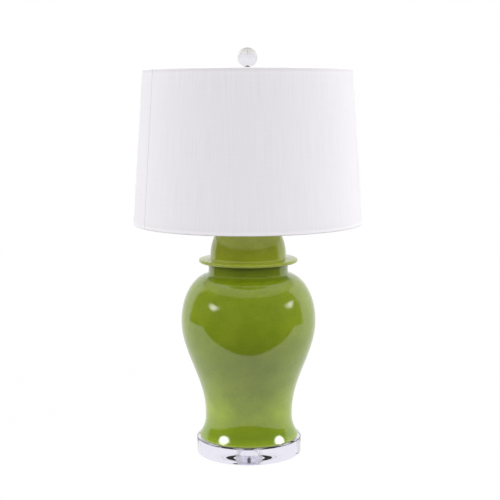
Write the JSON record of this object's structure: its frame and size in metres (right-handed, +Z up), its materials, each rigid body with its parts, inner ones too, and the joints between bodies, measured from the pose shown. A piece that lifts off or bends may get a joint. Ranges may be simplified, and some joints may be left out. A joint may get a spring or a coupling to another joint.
{
  "type": "table lamp",
  "caption": "Table lamp with a lidded, waisted ceramic jar body on a clear disc base, a turn switch, a harp, a linen drum shade and a clear ball finial.",
  "frame": {"origin": "on the lamp's axis, at the surface it stands on", "axes": "+Z up along the lamp's axis, -Y to the front (the switch side), +Y to the back (the cord inlet side)"},
  "size_m": [0.4572, 0.457, 0.8168],
  "materials": {
    "clear_acrylic": "polished",
    "clear_rubber": "smooth",
    "zinc_steel": "plated",
    "dark_steel": "satin",
    "black_felt": "matt",
    "green_glaze": "gloss",
    "black_plastic": "satin",
    "nickel_plate": "brushed",
    "liner_card": "matt",
    "black_phenolic": "gloss",
    "socket_brass": "satin",
    "frosted_glass": "frosted",
    "bulb_aluminium": "satin",
    "black_glass": "gloss",
    "bulb_solder": "satin",
    "clear_glass": "clear",
    "tungsten": "matt",
    "white_linen": "woven",
    "white_backing": "matt",
    "white_wire": "satin",
    "crystal": "polished"
  },
  "bodies": {
    "lamp_base": {"acrylic_base": "clear_acrylic", "base_bumpers": "clear_rubber", "foot_washer": "zinc_steel", "foot_nut": "dark_steel", "foot_pad": "black_felt", "lamp_pipe": "zinc_steel", "jar_body": "green_glaze", "cord_bushing": "black_plastic", "lid_seal": "clear_rubber", "jar_lid": "green_glaze", "vase_cap": "nickel_plate", "cap_nut": "nickel_plate", "harp_saddle": "nickel_plate", "socket_cap": "nickel_plate", "socket_set_screw": "dark_steel", "socket_shell": "nickel_plate", "socket_liner": "liner_card", "socket_body": "black_phenolic", "screw_shell": "socket_brass", "centre_contact": "socket_brass", "terminal_screws": "socket_brass", "switch_bushing": "black_phenolic"},
    "switch": {"switch_shaft": "socket_brass", "switch_knob": "black_phenolic"},
    "bulb": {"bulb_glass": "frosted_glass", "bulb_base": "bulb_aluminium", "bulb_insulator": "black_glass", "bulb_contact": "bulb_solder", "bulb_stem": "clear_glass", "bulb_filament": "tungsten"},
    "harp_loop": {"harp": "nickel_plate"},
    "ferrule_left": {"harp_ferrule_left": "nickel_plate"},
    "ferrule_right": {"harp_ferrule_right": "nickel_plate"},
    "swivel_stud": {"harp_stud": "nickel_plate"},
    "shade": {"shade_fabric": "white_linen", "shade_panel": "white_backing", "shade_top_ring": "white_wire", "shade_bottom_ring": "white_wire", "spider_arms": "nickel_plate", "spider_hub": "nickel_plate"},
    "finial": {"finial_base": "nickel_plate", "finial_ball": "crystal"}
  },
  "joints": [
    {"name": "switch_turn", "type": "hinge", "parent": "lamp_base", "child": "switch", "pos_m": [0, -0.025, 0.52916], "axis": [0, -1, 0], "continuous": true},
    {"name": "bulb_turn", "type": "hinge", "parent": "lamp_base", "child": "bulb", "pos_m": [0, 0, 0.56], "axis": [0, 0, 1], "range_deg": [0, 1440]},
    {"name": "harp_lift", "type": "slide", "parent": "lamp_base", "child": "harp_loop", "axis": [0, 0, 1], "range_m": [0, 0.02]},
    {"name": "ferrule_left_slide", "type": "slide", "parent": "harp_loop", "child": "ferrule_left", "axis": [0, 0, 1], "range_m": [0, 0.02]},
    {"name": "ferrule_right_slide", "type": "slide", "parent": "harp_loop", "child": "ferrule_right", "axis": [0, 0, 1], "range_m": [0, 0.02]},
    {"name": "shade_turn", "type": "hinge", "parent": "harp_loop", "child": "swivel_stud", "pos_m": [0, 0, 0.756], "axis": [0, 0, 1], "continuous": true},
    {"name": "shade_lift", "type": "slide", "parent": "swivel_stud", "child": "shade", "axis": [0, 0, 1], "range_m": [0, 0.31]},
    {"name": "finial_turn", "type": "hinge", "parent": "shade", "child": "finial", "pos_m": [0, 0, 0.78], "axis": [0, 0, 1], "range_deg": [0, 3240]}
  ]
}
